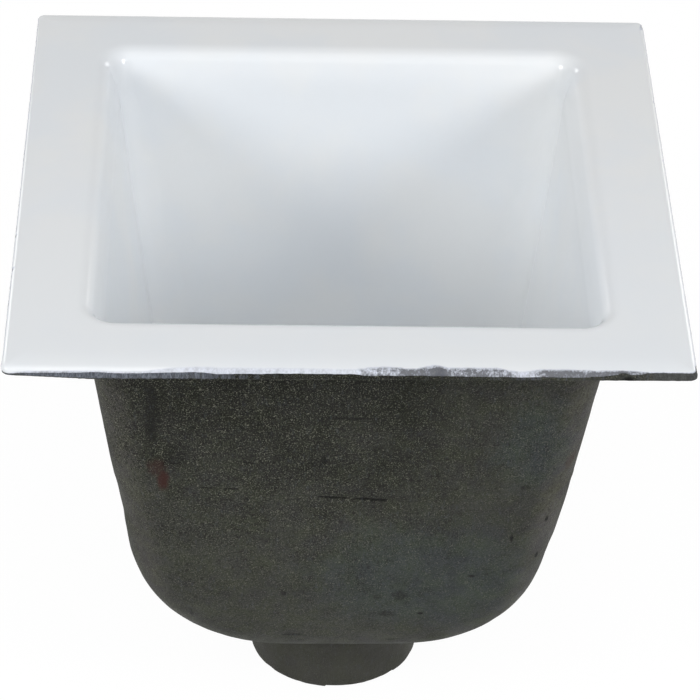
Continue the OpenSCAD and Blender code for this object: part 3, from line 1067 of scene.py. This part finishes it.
def iron_tone(w, place, axes, height, look):
    """Colour of the iron: darker under the flange as painted shade, paler at its corners and foot as
    painted light, and bluish at the right
    """
    # Painted shade: darker towards the flange, where the flange shades the bowl
    upper = w.math("MULTIPLY", w.span(height, 0.12, 0.24), w.span(axes["X"], 0.02, 0.08, 1, 0.05))
    base = w.mix(upper, look.lower, look.upper)
    # Painted light: the bowl's rounded corners, which face the side lamps, are painted lighter
    sides = w.math("ABSOLUTE", axes["X"]), w.math("ABSOLUTE", axes["Y"])
    squareness = w.math("DIVIDE", w.math("MINIMUM", *sides), w.math("MAXIMUM", *sides))
    corner = w.math("MULTIPLY", w.span(squareness, 0.8, 0.94), w.span(axes["Z"], 0.06, 0.12))
    painted_light = w.math("MULTIPLY", corner, w.span(axes["X"], -0.06, 0.06, 0.55, 0.85))
    base = w.mix(painted_light, base, look.painted_light)
    low = patch(w, place, (40, -95, 118), (75, 60, 52), 0.3, 0.02)
    high = patch(w, place, (88, -108, 205), (26, 30, 36), 0.5, 0.012)
    base = w.mix(w.math("MULTIPLY", w.math("MAXIMUM", low, high), 0.55), base, look.cool)
    tone = w.group(shared_group("Tone drift"), vector=place, size=0.014, first=(0.89, 0.87, 0.9),
                   second=(1.1, 1.1, 1.04))["Color"]
    base = w.mix(1.0, base, tone, "MULTIPLY")
    hue = w.group(shared_group("Tone drift"), vector=place, size=0.009, first=(1.01, 0.98, 1.06),
                  second=(0.99, 1.01, 0.91))["Color"]
    base = w.mix(1.0, base, hue, "MULTIPLY")
    # Painted light: lighter towards the pipe's foot, for light that reaches it below the bowl
    foot = w.math("MULTIPLY", w.span(axes["Z"], 0.05, 0.03), 0.45)
    return w.mix(foot, base, look.painted_light)


def grainy(w, place, axes, rough_zone, grain, base, look):
    """Adds painted glints on the grains, in loose clusters, and the dark pores between them"""
    calmer = w.math("MULTIPLY", w.span(axes["X"], -0.02, 0.07, 1, 0.6),
                    w.span(axes["Z"], 0.056, 0.066, 0.3, 1))
    coarse_zone = w.math("MULTIPLY", rough_zone, calmer)
    clusters = w.span(w.noise(place, 0.005, 2.0, 0.6), 0.35, 0.62, 0.5, 1)
    # Painted highlight: grains painted in the glint tone
    painted_glints = w.math("MULTIPLY", grain["Glints"], w.math("MULTIPLY", coarse_zone, clusters))
    pores = w.math("MULTIPLY", grain["Pores"], w.math("MULTIPLY", coarse_zone, 0.85))
    return w.mix(pores, w.mix(painted_glints, base, look.glint), look.soot)


def marked(w, place, base, look):
    """Adds smudges and rust, and darkens the cracks"""
    base = w.mix(marks(w, place, SMUDGES, 0.35, 0.0025), base, look.soot)
    base = w.mix(marks(w, place, RUST_SPOTS, 0.4, 0.003), base, look.rust)
    hollow = w.add("ShaderNodeAttribute", attribute_name="hollow").outputs["Fac"]
    gaps = w.span(w.noise(place, 0.0016, 2.0, 0.6), 0.35, 0.5, 0.25, 0)
    return w.mix(w.span(w.math("SUBTRACT", hollow, gaps), 0.15, 0.7), base, look.soot)


def edged(w, place, axes, base, look):
    """Adds the ground coat left along the flange's front edge, and the scraped end with its nick"""
    coat = w.add("ShaderNodeAttribute", attribute_name="ground_coat").outputs["Fac"]
    upright = w.add("ShaderNodeMapping", {"Vector": place, "Scale": (1, 1, 0.3)}).outputs[0]
    streaks = w.noise(upright, 0.0012, 3.0, 0.65)
    kept = w.span(w.math("ADD", coat, w.span(streaks, 0.3, 0.7, -0.35, 0.35)), 0.15, 0.85)
    flecks = w.noise(upright, 0.0006, 2.0, 0.6)
    coated = w.mix(w.span(flecks, 0.35, 0.65), look.ground, w.mix(0.62, look.ground, look.soot))
    base = w.mix(kept, base, coated)
    front = w.math("LESS_THAN", axes["Y"], -0.148)
    bare = w.math("MULTIPLY", w.math("MULTIPLY", w.span(axes["X"], 0.1305, 0.134), front),
                  w.span(axes["Z"], 0.2685, 0.2695))
    scraped = w.mix(w.span(streaks, 0.35, 0.65), look.fresh, w.mix(0.45, look.fresh, look.soot))
    base = w.mix(w.math("MULTIPLY", bare, 0.85), base, scraped)
    nick = patch(w, place, (121.5, -152, 272), (3.4, 3, 2.4), 0.25, 0.002)
    return w.mix(nick, base, look.soot)


def iron_material(scene):
    """Raw sand-cast iron: green-grey with grain, pits, a rust spot and the ground coat's rest"""
    look = scene.casting_look
    material, w, place, output = new_material("raw_cast_iron")
    axes = w.add("ShaderNodeSeparateXYZ", {"Vector": place}).outputs
    grain = w.group(shared_group("Sand grain"), vector=place, size=look.grain)
    cloud = w.noise(place, 0.02, 4.0, 0.6)
    height = w.math("ADD", axes["Z"], w.span(cloud, 0.3, 0.7, -0.018, 0.018))
    rough_zone = w.span(height, 0.09, 0.22, 0.5, 1)
    base = iron_tone(w, place, axes, height, look)
    base = grainy(w, place, axes, rough_zone, grain, base, look)
    base = marked(w, place, base, look)
    base = edged(w, place, axes, base, look)
    bump = w.add("ShaderNodeBump", {
        "Height": w.math("MULTIPLY", grain["Height"], rough_zone),
        "Strength": 0.9, "Distance": 0.0012})
    shader = w.add("ShaderNodeBsdfPrincipled", {
        "Base Color": base, "Roughness": w.span(cloud, 0.3, 0.7, 0.58, 0.74),
        "Normal": bump.outputs["Normal"], "Specular IOR Level": 0.15})
    w.plug(output.inputs["Surface"], shader.outputs["BSDF"])
    return material


def enamel_material(scene):
    """White vitreous enamel: glossy, and worn to its dark ground along the flange's edge"""
    look = scene.enamel_look
    material, w, place, output = new_material("white_vitreous_enamel")
    base = w.group(shared_group("Tone drift"), vector=place, size=0.06, first=look.white,
                   second=look.shade)["Color"]
    wear = w.add("ShaderNodeAttribute", attribute_name="wear").outputs["Fac"]
    upright = w.add("ShaderNodeMapping", {"Vector": place, "Scale": (1, 1, 0.45)}).outputs[0]
    blots = w.math("ADD", w.math("MULTIPLY", w.noise(upright, 0.003, 3.0, 0.6), 0.5),
                   w.math("MULTIPLY", w.noise(upright, 0.0009, 2.0, 0.6), 0.5))
    swing = w.math("MULTIPLY", w.math("MULTIPLY", w.math("POWER", wear, 2.0),
                                      w.math("SUBTRACT", 1.0, wear)), 6.5)
    uneven = w.math("MULTIPLY", swing, w.span(blots, 0.3, 0.7, -0.5, 0.5))
    worn = w.span(w.math("ADD", wear, uneven), 0.02, 0.98)
    # Painted light: cooler towards the front, standing in for the bluish light that falls there
    along = w.add("ShaderNodeSeparateXYZ", {"Vector": place}).outputs["Y"]
    base = w.mix(w.span(along, 0.06, -0.15, 0, 0.6), base, look.shade)
    base = w.mix(w.span(wear, 0, 0.35), base, look.thin)
    ground = w.mix(w.span(blots, 0.38, 0.6), look.chip, w.mix(0.09, look.chip, look.white))
    base = w.mix(w.math("MULTIPLY", worn, 0.95), base, ground)
    peel = w.add("ShaderNodeBump", {"Height": w.noise(place, 0.014, 1.0, 0.5), "Strength": 0.1,
                                    "Distance": 0.0002})
    shader = w.add("ShaderNodeBsdfPrincipled", {
        "Base Color": base, "Roughness": w.math("ADD", w.math("MULTIPLY", worn, 0.4), look.gloss),
        "Normal": peel.outputs["Normal"], "Specular IOR Level": 0.5})
    w.plug(output.inputs["Surface"], shader.outputs["BSDF"])
    return material


def aluminium_material(scene):
    """As-cast aluminium: satin grey with a fine grain, darker in its pores"""
    look = scene.strainer_shape
    material, w, place, output = new_material("cast_aluminium_satin")
    grain = w.group(shared_group("Sand grain"), vector=place, size=0.0005)
    base = w.group(shared_group("Tone drift"), vector=place, size=0.02, first=look.dark,
                   second=look.light)["Color"]
    base = w.mix(w.math("MULTIPLY", grain["Pores"], 0.5), base, look.dark)
    bump = w.add("ShaderNodeBump", {"Height": grain["Height"], "Strength": 0.5,
                                    "Distance": 0.0004})
    shader = w.add("ShaderNodeBsdfPrincipled", {
        "Base Color": base, "Metallic": 1.0,
        "Roughness": w.span(grain["Height"], 0.3, 0.7, 0.38, 0.52),
        "Normal": bump.outputs["Normal"]})
    w.plug(output.inputs["Surface"], shader.outputs["BSDF"])
    return material


# Stage

def white_to_eye(w, light, strength):
    """Shader that the camera and reflections see as white, and other rays as the light given"""
    rays = w.add("ShaderNodeLightPath").outputs
    seen = w.math("MAXIMUM", rays["Is Camera Ray"],
                  w.math("MAXIMUM", rays["Is Glossy Ray"], rays["Is Transmission Ray"]))
    mix = w.add("ShaderNodeMixShader", {"Fac": w.math("MULTIPLY", seen, strength)})
    w.plug(mix.inputs[1], light)
    return mix


def make_stage(scene):
    """Camera, lamps, white room and white floor"""
    look = scene.stage_look
    camera = bpy.data.objects.new("camera", bpy.data.cameras.new("camera"))
    camera.data.lens = look.lens
    camera.data.sensor_width = 36
    camera.data.clip_end = 50
    eye = Vector(look.eye)
    sight = (Vector(look.aim) - eye).to_track_quat("-Z", "Y").to_matrix().to_4x4()
    camera.matrix_world = Matrix.Translation(eye) @ sight @ Matrix.Rotation(look.roll, 4, "Z")
    scene.collection.objects.link(camera)
    scene.camera = camera

    aim = Vector((0, 0, 220 * MM))
    # Name, turn to the right, rise, distance and size in metres, and power
    for name, turn, rise, away, size, power in (
            ("front lamp", 0, look.front_rise, 2.0, 2.4, look.front_power),
            ("left lamp", -look.side_turn, look.side_rise, 1.6, 0.5, look.side_power),
            ("right lamp", look.side_turn, look.side_rise, 1.6, 0.5, look.side_power),
            ("back left lamp", -look.back_turn, look.back_rise, 1.8, 0.5, look.back_power),
            ("back right lamp", look.back_turn, look.back_rise, 1.8, 0.5, look.back_power)):
        place = aim + away * Vector((sin(turn) * cos(rise), -cos(turn) * cos(rise), sin(rise)))
        lamp = bpy.data.lights.new(name, "AREA")
        lamp.size, lamp.energy = size, power
        holder = bpy.data.objects.new(name, lamp)
        holder.location = place
        holder.rotation_euler = (aim - place).to_track_quat("-Z", "Y").to_euler()
        scene.collection.objects.link(holder)

    world = bpy.data.worlds.new("white room")
    world.use_nodes = True
    world.node_tree.nodes.clear()
    w = Wiring(world.node_tree)
    dim = w.add("ShaderNodeBackground", {"Color": (1, 1, 1), "Strength": look.room})
    mix = white_to_eye(w, dim.outputs[0], 1.0)
    w.plug(mix.inputs[2], w.add("ShaderNodeBackground", {
        "Color": (1, 1, 1), "Strength": 1.0}).outputs[0])
    w.plug(w.add("ShaderNodeOutputWorld").inputs["Surface"], mix.outputs[0])
    scene.world = world

    bm = bmesh.new()
    bmesh.ops.create_grid(bm, x_segments=1, y_segments=1, size=6)
    mesh = bpy.data.meshes.new("floor")
    bm.to_mesh(mesh)
    bm.free()
    floor = bpy.data.objects.new("floor", mesh)
    scene.collection.objects.link(floor)
    material, w, _, output = new_material("white_floor")
    matt = w.add("ShaderNodeBsdfDiffuse", {"Color": (0.9, 0.9, 0.9)})
    mix = white_to_eye(w, matt.outputs[0], 1 - look.shadow)
    glow = w.add("ShaderNodeEmission", {"Color": (1, 1, 1), "Strength": 1.04})
    w.plug(mix.inputs[2], glow.outputs[0])
    w.plug(output.inputs["Surface"], mix.outputs[0])
    mesh.materials.append(material)
    scene.view_settings.view_transform = "Standard"


# Operators and panel

class SINK_OT_casting(bpy.types.Operator):
    """Make the iron casting: flange, bowl and outlet pipe"""
    bl_idname = "sink.casting"
    bl_label = "Iron casting"
    bl_options = {"REGISTER", "UNDO"}

    def execute(self, context):
        make_casting(context.scene)
        return {"FINISHED"}


class SINK_OT_enamel(bpy.types.Operator):
    """Make the white enamel on the flange and in the bowl"""
    bl_idname = "sink.enamel"
    bl_label = "Enamel"
    bl_options = {"REGISTER", "UNDO"}

    def execute(self, context):
        make_enamel(context.scene)
        return {"FINISHED"}


class SINK_OT_strainer(bpy.types.Operator):
    """Make the loose dome strainer over the outlet"""
    bl_idname = "sink.strainer"
    bl_label = "Dome strainer"
    bl_options = {"REGISTER", "UNDO"}

    def execute(self, context):
        make_strainer(context.scene)
        return {"FINISHED"}


class SINK_OT_stage(bpy.types.Operator):
    """Make the camera, the lamps, the room and the floor"""
    bl_idname = "sink.stage"
    bl_label = "Stage"
    bl_options = {"REGISTER", "UNDO"}

    def execute(self, context):
        make_stage(context.scene)
        return {"FINISHED"}


class SINK_PT_pieces(bpy.types.Panel):
    """Lists the pieces and their sizes"""
    bl_idname = "SINK_PT_pieces"
    bl_label = "Floor sink"
    bl_space_type = "VIEW_3D"
    bl_region_type = "UI"
    bl_category = "Floor sink"

    def draw(self, context):
        for operator, group in (("sink.casting", "sink_shape"), ("sink.casting", "casting_look"),
                                ("sink.enamel", "enamel_look"),
                                ("sink.strainer", "strainer_shape"), ("sink.stage", "stage_look")):
            box = self.layout.box()
            box.operator(operator)
            settings = getattr(context.scene, group)
            for name in type(settings).__annotations__:
                box.prop(settings, name)


GROUPS = {
    "sink_shape": SinkShape, "casting_look": CastingLook, "enamel_look": EnamelLook,
    "strainer_shape": StrainerShape, "stage_look": StageLook,
}
CLASSES = (*GROUPS.values(), SINK_OT_casting, SINK_OT_enamel, SINK_OT_strainer, SINK_OT_stage,
           SINK_PT_pieces)


def register():
    for cls in CLASSES:
        bpy.utils.register_class(cls)
    for name, group in GROUPS.items():
        setattr(bpy.types.Scene, name, PointerProperty(type=group))


def unregister():
    for name in GROUPS:
        delattr(bpy.types.Scene, name)
    for cls in reversed(CLASSES):
        bpy.utils.unregister_class(cls)


def main():
    register()
    bpy.ops.sink.casting()
    bpy.ops.sink.enamel()
    bpy.ops.sink.strainer()
    bpy.ops.sink.stage()


if __name__ == "__main__":
    main()
